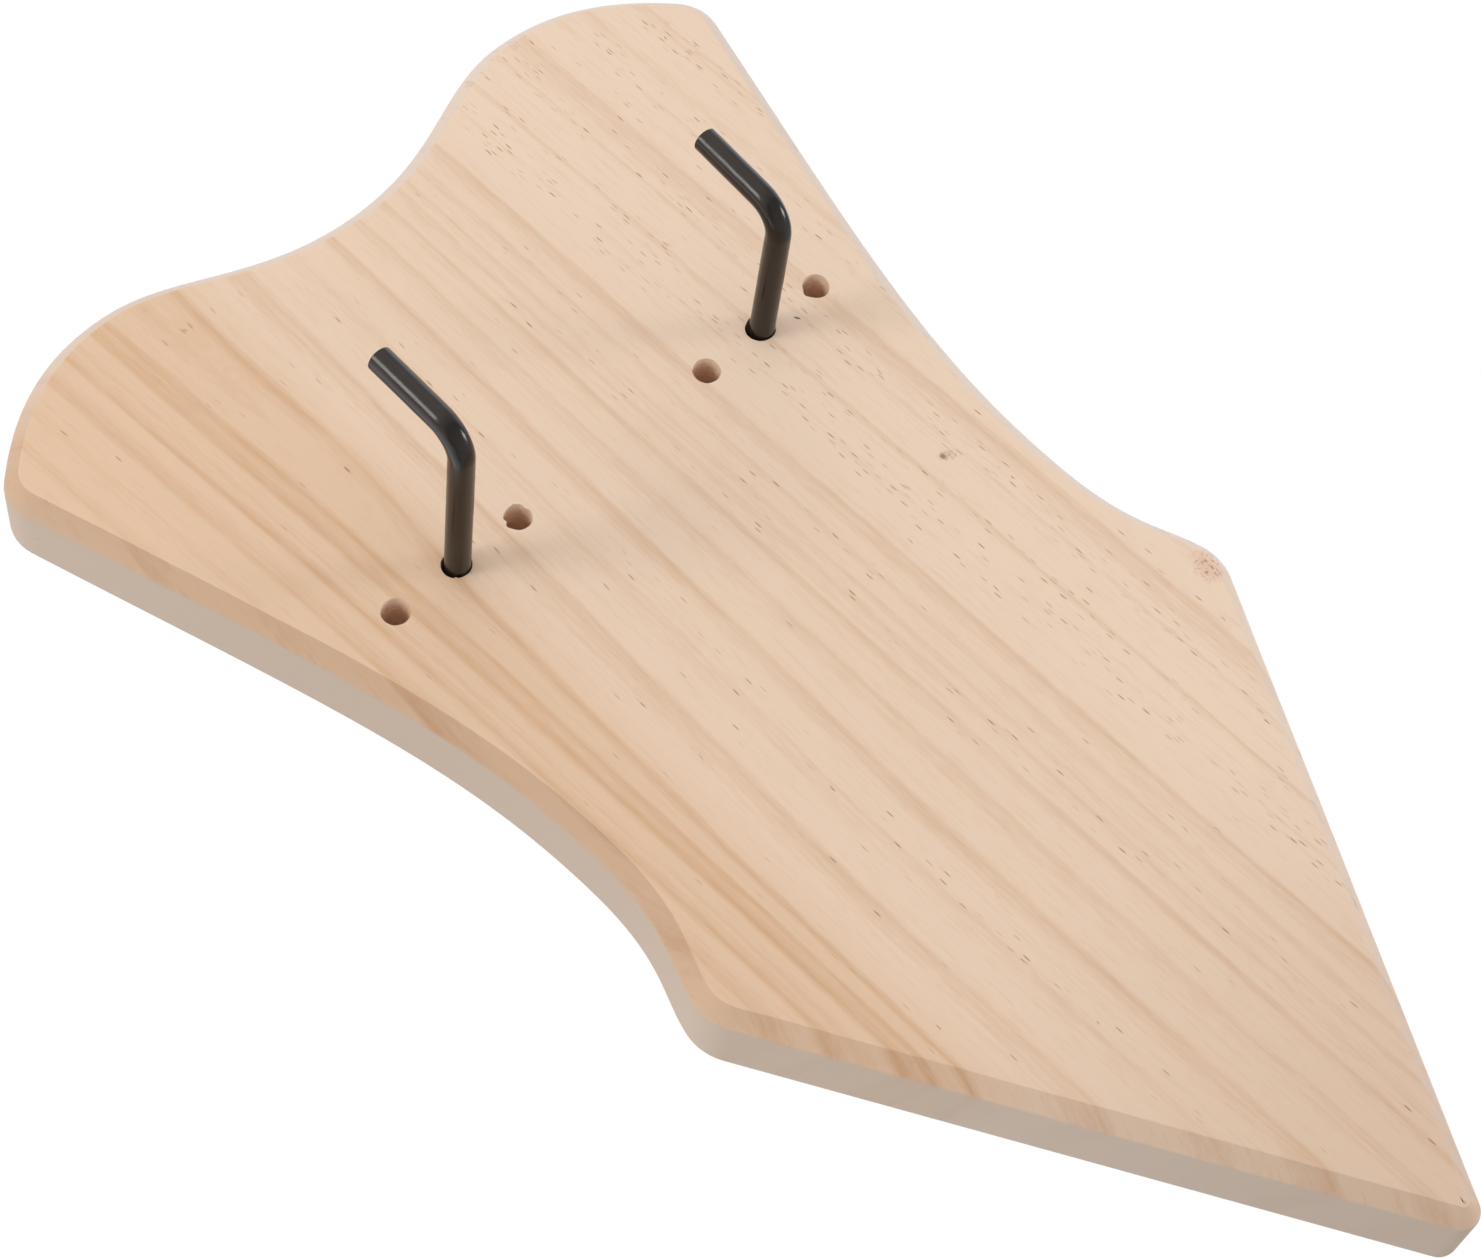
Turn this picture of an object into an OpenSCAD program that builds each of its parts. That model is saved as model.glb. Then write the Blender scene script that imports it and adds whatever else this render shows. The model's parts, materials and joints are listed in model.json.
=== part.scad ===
// Wall hanger for a guitar. A shaped pine board hangs on two wall screws, and the
// guitar's headstock rests on two bent steel pegs in black sleeves. The pegs push
// into a line of six drilled holes, so their spacing can be set to suit the neck.
// Millimetres, +Z up. The board's back face lies on the wall at y = 0 and its front
// faces -Y. The origin is on the back face, on the line of the peg holes.

/* [Board] */
// Thickness of the board
board_t = 18.5; // [17:0.5:24]
// Width of the front chamfer, measured across the front face
chamfer_w = 3.5; // [1:0.1:4.5]
// Depth of the front chamfer, measured back from the front face
chamfer_d = 3.3; // [1:0.1:4.5]
// Width of the sanded arris along the back edge
arris = 0.6; // [0.2:0.1:1.2]

/* [Outline: lobes] */
// Height of the dip between the lobes above the peg holes
dip_z = 81; // [78:0.5:84]
// Reach of the dip's curve to each side, which sets how flat it is
dip_reach = 26.5; // [20:0.5:30]
// Distance of each lobe's crown from the centre line
crown_x = 57; // [54:0.5:60]
// Height of the crowns above the peg holes
crown_z = 95.5; // [92:0.5:99]
// Reach of the crown's curve towards the dip
crown_in = 18.5; // [14:0.5:22]
// Reach of the crown's curve towards the shoulder
crown_out = 10; // [6:0.5:16]
// Distance of the shoulder's corner centre from the centre line
shoulder_x = 89.5; // [86:0.5:93]
// Height of the shoulder's corner centre above the peg holes
shoulder_z = 71; // [68:0.5:74]
// Radius of the shoulder's rounded corner
shoulder_r = 10; // [7:0.5:13]
// Reach of the curve that runs down from the crown into the shoulder
shoulder_in = 22; // [16:0.5:28]

/* [Outline: waist, hips and tip] */
// Reach of the side below the shoulder, where it is nearly straight
side_reach = 69; // [55:1:75]
// Half the width of the board at the waist
waist_x = 68; // [64:0.5:72]
// Height of the waist, below the peg holes
waist_z = -65; // [-70:0.5:-60]
// Reach of the waist's curve upwards
waist_up = 39; // [30:0.5:48]
// Reach of the waist's curve downwards
waist_down = 20; // [14:0.5:24]
// Distance of the hip's corner centre from the centre line
hip_x = 64; // [61:0.5:67]
// Height of the hip's corner centre, below the peg holes
hip_z = -102; // [-106:0.5:-98]
// Radius of the hip's rounded corner
hip_r = 12; // [9:0.5:14]
// Reach of the curve that runs from the waist into the hip
hip_in = 9.5; // [6:0.5:12]
// Height of the centre of the tip's rounded point, below the peg holes
tip_z = -226.3; // [-235:0.1:-200]
// Radius of the tip's rounded point
tip_r = 4.5; // [4:0.5:12]

/* [Peg holes] */
// Distance of the middle pair of holes, which holds the pegs, from the centre line
hole_x = 44; // [42:0.1:48]
// Distance between neighbouring holes of a group of three
hole_pitch = 16.7; // [12:0.1:20]
// Diameter of the holes, which are drilled right through
hole_d = 6; // [5.8:0.1:8]

/* [Pegs] */
// Diameter of the bent steel rod
rod_d = 5; // [4:0.1:5.2]
// Outside diameter of the sleeve on the rod
sleeve_d = 5.6; // [5.4:0.1:5.6]
// Radius of the bend, on the rod's centre line
bend_r = 6.6; // [5:0.1:9]
// Length of the leg from its inner end to the arm's centre line
leg_len = 53; // [50:0.1:60]
// Height of the arm's end above the leg's centre line
arm_len = 24.4; // [16:0.1:32]
// How far the sleeve's end stands past the rod's end
sleeve_lip = 0.7; // [0.2:0.1:1.5]
// Bevel on the rod's cropped ends
rod_bevel = 0.4; // [0.2:0.1:1]
// How deep the left peg sits in its hole
left_seat = 7.9; // [6:0.1:16.9]
// How deep the right peg sits in its hole
right_seat = 14; // [6:0.1:16.9]
// Turn of the left peg in its hole, leaning to +X
left_turn = 2; // [-10:1:10]
// Turn of the right peg in its hole, leaning to +X
right_turn = 5; // [-10:1:10]

/* [Keyhole slots] */
// Distance of each keyhole slot from the centre line
key_x = 50; // [30:1:60]
// Height of the round entry above the peg holes
key_z = 42; // [30:1:50]
// Distance from the round entry up to the end of the slot, centre to centre
key_rise = 13; // [8:1:18]
// Width of the entry and of the pocket, which take the screw's head
key_head_d = 9.5; // [8:0.5:11]
// Width of the slot, which takes the screw's shank
key_shank_w = 5; // [4.5:0.5:6]
// Thickness of wood left behind the screw's head
key_lip = 4.5; // [3:0.5:5]
// Depth of the keyhole from the back face
key_depth = 10; // [9.5:0.5:12]

/* [Hidden] */

$fn = 48;
eps = 1;                 // how far a cutter stands clear of the face it enters
hole_groups = [-1, 1];   // left and right of the centre line
leg_run = leg_len - bend_r;
arm_run = arm_len - bend_r;

// ---- outline of the board, seen from the front as (x, z) ----

function bezier_at(p, t) =
    pow(1 - t, 3) * p[0] + 3 * pow(1 - t, 2) * t * p[1]
    + 3 * (1 - t) * pow(t, 2) * p[2] + pow(t, 3) * p[3];

// A curve without its first point, which the piece before it has drawn
function bezier(p, steps) = [for (i = [1:steps]) bezier_at(p, i / steps)];

function on_circle(c, r, a) = c + r * [cos(a), sin(a)];

function arc(c, r, from, to, steps) =
    [for (i = [1:steps]) on_circle(c, r, from + (to - from) * i / steps)];

// Direction of travel, clockwise, at angle a of a circle
function heading(a) = [sin(a), -cos(a)];

dip = [0, dip_z];
crown = [crown_x, crown_z];
shoulder = [shoulder_x, shoulder_z];
waist = [waist_x, waist_z];
hip = [hip_x, hip_z];
tip = [0, tip_z];

// Angles at which each rounded corner starts and ends
shoulder_from = 45;
shoulder_to = -17;
hip_from = 15;
// The straight lower side touches the hip's circle and the tip's circle
side_run = norm(tip - hip);
hip_to = atan2(tip_z - hip_z, -hip_x) + acos((hip_r - tip_r) / side_run);
tip_to = -90;

shoulder_start = on_circle(shoulder, shoulder_r, shoulder_from);
shoulder_end = on_circle(shoulder, shoulder_r, shoulder_to);
hip_start = on_circle(hip, hip_r, hip_from);

dip_to_crown = [dip, dip + [dip_reach, 0], crown - [crown_in, 0], crown];
crown_to_shoulder = [
    crown,
    crown + [crown_out, 0],
    shoulder_start - shoulder_in * heading(shoulder_from),
    shoulder_start
];
shoulder_to_waist = [
    shoulder_end,
    shoulder_end + side_reach * heading(shoulder_to),
    waist + [0, waist_up],
    waist
];
waist_to_hip = [
    waist,
    waist - [0, waist_down],
    hip_start - hip_in * heading(hip_from),
    hip_start
];

// The right half, from the middle of the dip down to the bottom of the tip
half_outline = concat(
    [dip],
    bezier(dip_to_crown, 16),
    bezier(crown_to_shoulder, 14),
    arc(shoulder, shoulder_r, shoulder_from, shoulder_to, 7),
    bezier(shoulder_to_waist, 26),
    bezier(waist_to_hip, 11),
    arc(hip, hip_r, hip_from, hip_to, 7),
    [on_circle(tip, tip_r, hip_to)],
    arc(tip, tip_r, hip_to, tip_to, 7)
);

last = len(half_outline) - 1;

// The whole outline, clockwise from the dip
outline = concat(
    half_outline,
    [for (i = [1:last - 1]) [-half_outline[last - i][0], half_outline[last - i][1]]]
);

corners = len(outline);

function edge_dir(i) =
    let (step = outline[(i + 1) % corners] - outline[(i + corners) % corners])
    step / norm(step);

// Outward normal at a point: the mean direction of its two edges, turned left
function out_dir(i) =
    let (mean = edge_dir(i) + edge_dir((i + corners - 1) % corners))
    [-mean[1], mean[0]] / norm(mean);

// The outline moved in by a distance and set at a depth from the wall
function ring(inset, y) = [
    for (i = [0:corners - 1])
        let (p = outline[i] - inset * out_dir(i))
        [p[0], y, p[1]]
];

// ---- board ----

// The board before drilling: back arris, upright edge, front chamfer
module board_blank() {
    rings = [
        ring(arris, 0),
        ring(0, -arris),
        ring(0, chamfer_d - board_t),
        ring(chamfer_w, -board_t)
    ];
    bands = len(rings) - 1;
    back_face = [for (i = [corners - 1:-1:0]) i];
    front_face = [for (i = [0:corners - 1]) bands * corners + i];
    edge_faces = [
        for (b = [0:bands - 1], i = [0:corners - 1])
            let (next = (i + 1) % corners)
            [b * corners + i, b * corners + next, (b + 1) * corners + next, (b + 1) * corners + i]
    ];
    polyhedron(
        points = [for (r = rings) each r],
        faces = concat([back_face], [front_face], edge_faces),
        convexity = 8
    );
}

// Cutter for one peg hole
module peg_hole() {
    translate([0, -board_t - eps, 0])
        rotate([-90, 0, 0])
            cylinder(d = hole_d, h = board_t + 2 * eps);
}

// A round-ended groove that rises from the entry, cut from one depth to another
module groove(width, from_depth, to_depth) {
    translate([0, -from_depth, 0])
        rotate([90, 0, 0])
            linear_extrude(to_depth - from_depth)
                union() {
                    circle(d = width);
                    translate([-width / 2, 0])
                        square([width, key_rise]);
                    translate([0, key_rise])
                        circle(d = width);
                }
}

// Cutter for one keyhole slot in the back face: the screw's head goes in at the
// entry, and the board drops until the shank reaches the slot's upper end
module keyhole() {
    translate([0, eps, 0])
        rotate([90, 0, 0])
            cylinder(d = key_head_d, h = key_depth + eps);
    groove(key_shank_w, -eps, key_depth);
    groove(key_head_d, key_lip, key_depth);
}

module board() {
    color("burlywood")
        difference() {
            board_blank();
            for (side = hole_groups, step = [-1:1])
                translate([side * hole_x + step * hole_pitch, 0, 0])
                    peg_hole();
            for (side = hole_groups)
                translate([side * key_x, 0, key_z])
                    keyhole();
        }
}

// ---- pegs ----

// Sweeps a round section from the leg's inner end, round the bend and up the arm.
// The leg runs along -Y from y = 0, and the arm stands up along +Z.
module bent(outer_d, bore_d, arm_h) {
    module section() {
        difference() {
            circle(d = outer_d);
            if (bore_d > 0)
                circle(d = bore_d);
        }
    }
    rotate([90, 0, 0])
        linear_extrude(leg_run)
            section();
    translate([0, -leg_run, bend_r])
        rotate([0, 90, 180])
            rotate_extrude(angle = 90)
                translate([bend_r, 0])
                    section();
    translate([0, -leg_len, bend_r])
        linear_extrude(arm_h)
            section();
}

// What a cropped and bevelled end loses: a ring outside a short cone
module end_bevel() {
    difference() {
        cylinder(d = rod_d + eps, h = rod_bevel);
        cylinder(d1 = rod_d, d2 = rod_d - 2 * rod_bevel, h = rod_bevel);
    }
}

module rod() {
    difference() {
        bent(rod_d, 0, arm_run - sleeve_lip);
        translate([0, -rod_bevel, 0])
            rotate([-90, 0, 0])
                end_bevel();
        translate([0, -leg_len, arm_len - sleeve_lip - rod_bevel])
            end_bevel();
    }
}

module sleeve() {
    bent(sleeve_d, rod_d, arm_run);
}

// Puts a peg in its hole: how deep it sits, and how far it is turned
module in_hole(x, seat, turn) {
    translate([x, seat - board_t, 0])
        rotate([0, turn, 0])
            children();
}

module left_rod() {
    color("silver")
        in_hole(-hole_x, left_seat, left_turn)
            rod();
}

module left_sleeve() {
    color("#2c2a29")
        in_hole(-hole_x, left_seat, left_turn)
            sleeve();
}

module right_rod() {
    color("silver")
        in_hole(hole_x, right_seat, right_turn)
            rod();
}

module right_sleeve() {
    color("#2c2a29")
        in_hole(hole_x, right_seat, right_turn)
            sleeve();
}

board();
left_rod();
left_sleeve();
right_rod();
right_sleeve();
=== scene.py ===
"""Looks of a wall guitar hanger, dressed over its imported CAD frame.

A pine board with six drilled peg holes and two keyhole slots carries two bent steel
pegs in black shrink sleeves. Lengths are in metres in the frame's own axes: +X to the
right, -Y out of the board's front, +Z up. Names that end in _mm are in millimetres.
"""

import json
import math

import bmesh
import bpy
import numpy as np
from mathutils import Matrix, Vector, noise

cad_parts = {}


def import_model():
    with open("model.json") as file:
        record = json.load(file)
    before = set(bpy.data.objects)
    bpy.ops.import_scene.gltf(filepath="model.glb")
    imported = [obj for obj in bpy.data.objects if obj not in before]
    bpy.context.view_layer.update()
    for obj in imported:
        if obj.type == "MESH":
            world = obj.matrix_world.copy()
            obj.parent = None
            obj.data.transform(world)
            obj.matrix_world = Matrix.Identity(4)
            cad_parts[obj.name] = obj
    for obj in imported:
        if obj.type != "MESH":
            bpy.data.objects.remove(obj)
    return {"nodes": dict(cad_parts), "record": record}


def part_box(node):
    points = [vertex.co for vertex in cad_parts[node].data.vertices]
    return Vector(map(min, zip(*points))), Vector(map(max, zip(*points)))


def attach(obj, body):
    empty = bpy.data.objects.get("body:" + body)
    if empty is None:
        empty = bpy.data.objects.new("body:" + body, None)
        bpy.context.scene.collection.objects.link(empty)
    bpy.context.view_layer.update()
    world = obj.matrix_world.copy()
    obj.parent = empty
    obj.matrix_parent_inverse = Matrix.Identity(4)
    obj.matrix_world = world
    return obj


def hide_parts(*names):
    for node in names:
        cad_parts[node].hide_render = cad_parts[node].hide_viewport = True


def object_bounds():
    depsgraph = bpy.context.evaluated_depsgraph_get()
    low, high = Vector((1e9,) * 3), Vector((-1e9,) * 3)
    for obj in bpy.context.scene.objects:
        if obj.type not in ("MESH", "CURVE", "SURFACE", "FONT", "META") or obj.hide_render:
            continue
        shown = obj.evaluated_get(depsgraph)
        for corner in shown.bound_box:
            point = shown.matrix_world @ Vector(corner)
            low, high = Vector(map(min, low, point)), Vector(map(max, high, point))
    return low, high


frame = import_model()
cad_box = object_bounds()

MM = 0.001


# ---------------------------------------------------------------- frame readings

def depth_levels(node):
    """The distinct y values of a node's vertices, from the front to the wall."""
    depths = [round(v.co.y, 5) for v in node.data.vertices]
    return sorted(set(depths))


def points_at_depth(node, depth):
    """A node's distinct vertices at one y, as rows of (x, z)."""
    found = {
        (round(v.co.x, 6), round(v.co.z, 6))
        for v in node.data.vertices
        if abs(v.co.y - depth) < 0.01 * MM
    }
    return np.array(sorted(found))


def mount(name):
    """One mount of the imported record."""
    return next(m for m in frame["record"]["mounts"] if m["name"] == name)


BOARD = frame["nodes"]["board"]
BOARD_LOW, BOARD_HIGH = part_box("board")
FRONT_Y = BOARD_LOW.y
BACK_Y = BOARD_HIGH.y
LEVELS = depth_levels(BOARD)
WALL_Y = LEVELS[1]           # where the front chamfer meets the upright edge
KEY_FLOOR_Y = LEVELS[2]      # floor of the keyholes' pockets
KEY_LIP_Y = LEVELS[3]        # inner side of the wood that holds a screw's head


# ---------------------------------------------------------------- node materials

def srgb(red, green, blue):
    """A colour given as 0-255 display values, as the linear RGBA that shaders take."""
    def linear(value):
        share = value / 255
        return share / 12.92 if share <= 0.04045 else ((share + 0.055) / 1.055) ** 2.4
    return (linear(red), linear(green), linear(blue), 1.0)


class Paint:
    """A node material in the making: each call adds a node and returns its output."""

    def __init__(self, name):
        self.material = bpy.data.materials.new(name)
        self.material.use_nodes = True
        self.tree = self.material.node_tree
        self.tree.nodes.clear()
        self.shader = self.tree.nodes.new("ShaderNodeBsdfPrincipled")
        output = self.tree.nodes.new("ShaderNodeOutputMaterial")
        self.tree.links.new(self.shader.outputs["BSDF"], output.inputs["Surface"])

    def feed(self, socket, value):
        """Links an output to an input, or sets the input's constant."""
        if isinstance(value, bpy.types.NodeSocket):
            self.tree.links.new(value, socket)
        else:
            socket.default_value = value

    def node(self, kind, inputs=(), **settings):
        made = self.tree.nodes.new("ShaderNode" + kind)
        for name, value in settings.items():
            setattr(made, name, value)
        for key, value in dict(inputs).items():
            self.feed(made.inputs[key], value)
        return made

    def shade(self, **inputs):
        """Sets the shader's inputs; an underscore stands for a space in a name."""
        for name, value in inputs.items():
            self.feed(self.shader.inputs[name.replace("_", " ")], value)

    def math(self, operation, *values):
        return self.node("Math", enumerate(values), operation=operation).outputs[0]

    def add(self, *values):
        total = values[0]
        for value in values[1:]:
            total = self.math("ADD", total, value)
        return total

    def times(self, *values):
        product = values[0]
        for value in values[1:]:
            product = self.math("MULTIPLY", product, value)
        return product

    def ease(self, value, start, end, low=0.0, high=1.0, kind="SMOOTHSTEP"):
        """Maps start..end to low..high, held flat outside."""
        inputs = {0: value, 1: start, 2: end, 3: low, 4: high}
        return self.node("MapRange", inputs, interpolation_type=kind).outputs[0]

    def line(self, value, start, end, low=0.0, high=1.0):
        return self.ease(value, start, end, low, high, kind="LINEAR")

    def curve(self, value, points):
        """A smooth curve through points of (input, output)."""
        ins, outs = zip(*points)
        low, high = min(outs), max(outs)
        made = self.node("FloatCurve", {1: self.line(value, ins[0], ins[-1])})
        track = made.mapping.curves[0].points
        for _ in points[2:]:
            track.new(0.5, 0.5)
        for point, given, wanted in zip(track, ins, outs):
            point.location = (
                (given - ins[0]) / (ins[-1] - ins[0]),
                (wanted - low) / (high - low),
            )
        made.mapping.update()
        return self.line(made.outputs[0], 0.0, 1.0, low, high)

    def point(self, x, y, z):
        return self.node("CombineXYZ", {0: x, 1: y, 2: z}).outputs[0]

    def noise(self, at, detail=2.0, roughness=0.5):
        """Noise from 0 to 1, one cell per unit of the given point."""
        inputs = {"Vector": at, "Scale": 1.0, "Detail": detail, "Roughness": roughness}
        return self.node("TexNoise", inputs).outputs[0]

    def stretched_noise(self, place, scales, detail=2.0, roughness=0.5):
        """Noise with its own number of cells per mm along each axis of the place."""
        scaled = [self.times(axis, scale) for axis, scale in zip(place, scales)]
        return self.noise(self.point(*scaled), detail, roughness)

    def mix(self, share, first, second, blend="MIX"):
        inputs = {0: share, 6: first, 7: second}
        made = self.node("Mix", inputs, data_type="RGBA", blend_type=blend)
        return made.outputs[2]

    def bump(self, height, strength, distance):
        inputs = {"Height": height, "Strength": strength, "Distance": distance}
        return self.node("Bump", inputs).outputs[0]

    def place_mm(self):
        """The surface point in the frame's axes, as three outputs in millimetres."""
        where = self.node("TexCoord").outputs["Object"]
        split = self.node("SeparateXYZ", {0: where})
        return [self.times(axis, 1 / MM) for axis in split.outputs]


# ---------------------------------------------------------------- wood

# How far the rings lean to the left for each step away from the front face
RING_LEAN = 0.32

# Sideways drift of the grain per mm of height, by place across the board: above the
# height GRAIN_TURN and below it
GRAIN_TURN = -22.0
DRIFT_ABOVE = [(-100, -0.045), (-76, -0.045), (-54, -0.032), (-47, 0.026), (-42, 0.045),
               (-28, 0.042), (-12, 0.035), (0, 0.012), (18, 0.004), (100, 0.0)]
DRIFT_BELOW = [(-100, -0.018), (-60, -0.018), (-54, -0.010), (-49, 0.035), (-42, 0.046),
               (-28, 0.048), (-12, 0.038), (0, 0.012), (18, 0.004), (100, 0.0)]

# The height below GRAIN_TURN that drives the lower drift: it eases off towards the tip
LOWER_RISE = [(-230, -70), (-160, -76), (-105, -74), (-60, -36), (GRAIN_TURN, 0)]

# The rings swell to the right beside the left peg: from, to and middle of the swell, in mm
SWELL_X = (-58, -32, -43)
SWELL_Z = (-14, 74, 30)
SWELL = 2.0

# Dark late wood of the growth rings: (soft side, crest, sharp side, strength), in mm
# across the grain. Left of the pith line the sharp side is the left one.
RINGS = [
    (-83.0, -85.8, -87.0, 0.50),
    (-76.0, -78.6, -79.8, 0.35),
    (-67.4, -71.0, -72.5, 0.80),
    (-62.6, -64.8, -66.3, 0.90),
    (-60.4, -61.8, -63.1, 0.40),
    (-52.6, -57.5, -59.2, 1.05),
    (-52.8, -54.0, -55.6, 0.70),
    (-49.6, -47.4, -45.4, 1.05),
    (-38.8, -32.8, -31.0, 0.70),
    (-25.6, -21.2, -19.8, 0.32),
    (-15.2, -11.6, -9.9, 0.78),
    (-6.0, -2.2, -1.0, 0.48),
    (2.8, 5.3, 6.5, 0.62),
    (7.0, 10.0, 11.4, 0.32),
    (11.4, 13.2, 14.2, 0.36),
    (16.2, 18.2, 19.2, 0.42),
    (20.4, 25.0, 26.3, 0.60),
    (35.0, 36.2, 36.8, 0.15),
    (42.2, 43.7, 44.5, 0.55),
    (51.0, 53.0, 53.8, 0.25),
    (54.0, 61.0, 62.6, 0.62),
    (69.0, 70.5, 71.4, 0.22),
    (73.0, 77.2, 78.4, 0.36),
    (84.0, 88.0, 89.2, 0.45),
]

# Columns of resin canals: (place across the grain, half width, share of cells), in mm
CANAL_COLUMNS = [(-48, 3.0, 0.06), (-38, 2.0, 0.05), (-26, 1.5, 0.06), (-19, 3.0, 0.10),
                 (11, 4.0, 0.10), (18, 2.5, 0.08), (36, 3.0, 0.44), (43.3, 1.2, 0.50),
                 (54.5, 3.0, 0.42), (63, 2.0, 0.12), (72.5, 2.5, 0.36), (86, 2.5, 0.45)]

CANAL_CELL = (0.9, 5.6)      # room of one canal across and along the grain, in mm
CANAL_RADIUS = (0.10, 0.24)  # where a dash starts and ends to fade, in cells
CANAL_SLIP = 2.5             # how far neighbouring columns slip along the grain, in cells
STRAY_CANALS = 0.010         # share of cells with a canal between the columns
COLUMN_FADE = 0.8            # how far a column fades out at its sides, in mm

# Spots on the front: (x, z, half length, half width, angle), in mm and degrees
PIN_KNOT = (49.2, -48.2, 0.75, 0.6, 100.0)
PIN_SMEAR = (50.2, -48.7, 2.3, 1.2, -30.0)
HIP_KNOT = (70.9, -103.6, 3.8, 3.0, 60.0)
FLECK = (51.7, -3.1, 0.75, 0.3, -60.0)

EARLY_LEFT = srgb(229, 193, 162)
EARLY_MIDDLE = srgb(236, 206, 180)
EARLY_RIGHT = srgb(239, 210, 185)
LATE = srgb(200, 148, 100)
CANAL = srgb(170, 122, 88)
KNOT_STAIN = srgb(226, 178, 152)
KNOT_FLECKS = srgb(140, 100, 76)
PIN_RIM = srgb(184, 158, 130)
PIN_HEART = srgb(138, 100, 78)
FLECK_DARK = srgb(96, 62, 48)
# The sawn upright edge's grey: partly its own duller colour, partly painted shade
SAWN_GREY_AND_SHADE = srgb(179, 164, 150)
# Painted shade: the near edges' chamfer is multiplied darker by these, less so below the hip
NEAR_CHAMFER_SHADE = srgb(226, 218, 212)
LOW_NEAR_CHAMFER_SHADE = srgb(245, 240, 237)
# Painted highlight: a pale, cool colour mixed into the far edges
FAR_RIM_HIGHLIGHT = srgb(203, 198, 198)
# Painted shade: the board is multiplied darker towards its tip by this
TIP_SHADE = srgb(241, 237, 235)
# Drilled walls: darker than the front, partly the cut fibres' own colour, partly painted shade
# inside the hole
DRILLED = srgb(214, 170, 138)
DRILLED_PALE = srgb(242, 212, 188)
UNSHADED_MOUTH_MM = 3.5          # how deep a hole's wall is as pale as the front

# Size of the normal's y from which a surface starts to leave the edge and has left it:
# for the whole edge with its chamfer, and for its sawn upright part alone
EDGE_FACING = (0.76, 0.97)
SAWN_FACING = (0.1, 0.6)

# Sum of the normal's x and z from which an edge starts to face up and right and does so
# fully. Seen from the camera those are the far edges, and they are painted paler as a painted
# highlight.
FAR_FACING = (-0.1, 0.6)

# Where the early wood's colour changes, in mm across the grain
LEFT_TO_MIDDLE = (-52, -36)
MIDDLE_TO_RIGHT = (12, 40)

# Heights in mm between which the painted shade on the near chamfer changes, and over which the
# painted shade at the tip sets in
HIP_HEIGHTS = (-88, -118)
TIP_SHADE_HEIGHTS = (-120, -235)

BANDING = 0.42               # how strongly late wood shows on the faces
NEAR_EDGE_BANDING = 0.08     # what a near edge adds to that
FAR_EDGE_BANDING = -0.2      # what a far edge adds
SAWN_BANDING = -0.30         # what the sawn part adds
CANAL_STRENGTH = 0.68
FAR_RIM_HIGHLIGHT_STRENGTH = 0.4
SAWN_GREY_AND_SHADE_STRENGTH = 0.5


def bulge(paint, value, start, end, middle):
    """Rises from 0 at start to 1 in the middle and falls back to 0 at the end."""
    return paint.times(paint.ease(value, start, middle), paint.ease(value, middle, end, 1.0, 0.0))


def ring_place(paint, x, y, z):
    """Where a point lies across the growth rings, in mm along X on the front face."""
    depth = paint.math("SUBTRACT", y, FRONT_Y / MM)
    above = paint.line(z, GRAIN_TURN, 100.0, 0.0, 100.0 - GRAIN_TURN)
    drift = paint.add(
        paint.times(paint.curve(x, DRIFT_ABOVE), above),
        paint.times(paint.curve(x, DRIFT_BELOW), paint.curve(z, LOWER_RISE)),
        paint.times(bulge(paint, x, *SWELL_X), bulge(paint, z, *SWELL_Z), SWELL),
    )
    waver = paint.stretched_noise((x, y, z), (0.02, 0.02, 0.012), detail=1.0)
    return paint.add(
        paint.math("SUBTRACT", x, drift),
        paint.times(depth, RING_LEAN),
        paint.line(waver, 0.0, 1.0, -0.6, 0.6),
    )


def late_wood(paint, across, z):
    """Strength of the dark late wood, as the sum of all the rings."""
    total = 0.0
    for soft, crest, sharp, strength in RINGS:
        rise = paint.ease(across, soft, crest, kind="LINEAR")
        fall = paint.ease(across, crest, sharp, 1.0, 0.0)
        total = paint.add(total, paint.times(rise, fall, strength))
    patchy = paint.stretched_noise((across, 0.0, z), (0.35, 0.0, 0.025), 4.0, 0.6)
    return paint.times(total, paint.line(patchy, 0.3, 0.7, 0.6, 1.35))


def fine_lines(paint, across, y, z):
    """Thin grain lines between the rings, about 0 and to either side of it."""
    lines = paint.stretched_noise((across, y, z), (0.9, 0.05, 0.012), 3.0, 0.7)
    fibres = paint.stretched_noise((across, y, z), (1.7, 0.4, 0.16), 3.0, 0.65)
    return paint.add(
        paint.line(lines, 0.25, 0.75, -0.24, 0.24),
        paint.line(fibres, 0.25, 0.75, -0.30, 0.30),
    )


def canals(paint, across, z):
    """Short dark dashes along the grain where resin canals are cut open."""
    cell_wide, cell_long = CANAL_CELL
    slip = paint.noise(paint.point(paint.times(across, 0.22), 5.0, 0.0), detail=1.0)
    height = paint.add(paint.times(z, 1 / cell_long), paint.times(slip, CANAL_SLIP))
    at = paint.point(paint.times(across, 1 / cell_wide), height, 0.0)
    cells = paint.node("TexVoronoi", {"Vector": at, "Scale": 1.0, "Randomness": 1.0},
                       voronoi_dimensions="2D")
    dash = paint.ease(cells.outputs["Distance"], *CANAL_RADIUS, 1.0, 0.0)
    pick = paint.node("SeparateColor", {0: cells.outputs["Color"]})
    share = STRAY_CANALS
    for centre, half, most in CANAL_COLUMNS:
        away = paint.math("ABSOLUTE", paint.math("SUBTRACT", across, centre))
        column = paint.line(away, half, half + COLUMN_FADE, most, 0.0)
        share = paint.math("MAXIMUM", share, column)
    clusters = paint.stretched_noise((across, z, 0.0), (0.3, 0.05, 0.0))
    share = paint.times(share, paint.line(clusters, 0.35, 0.65, 0.15, 1.8))
    chosen = paint.math("LESS_THAN", pick.outputs[0], share)
    weight = paint.times(pick.outputs[1], pick.outputs[1])
    return paint.times(dash, chosen, paint.line(weight, 0.0, 1.0, 0.25, 1.2))


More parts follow.
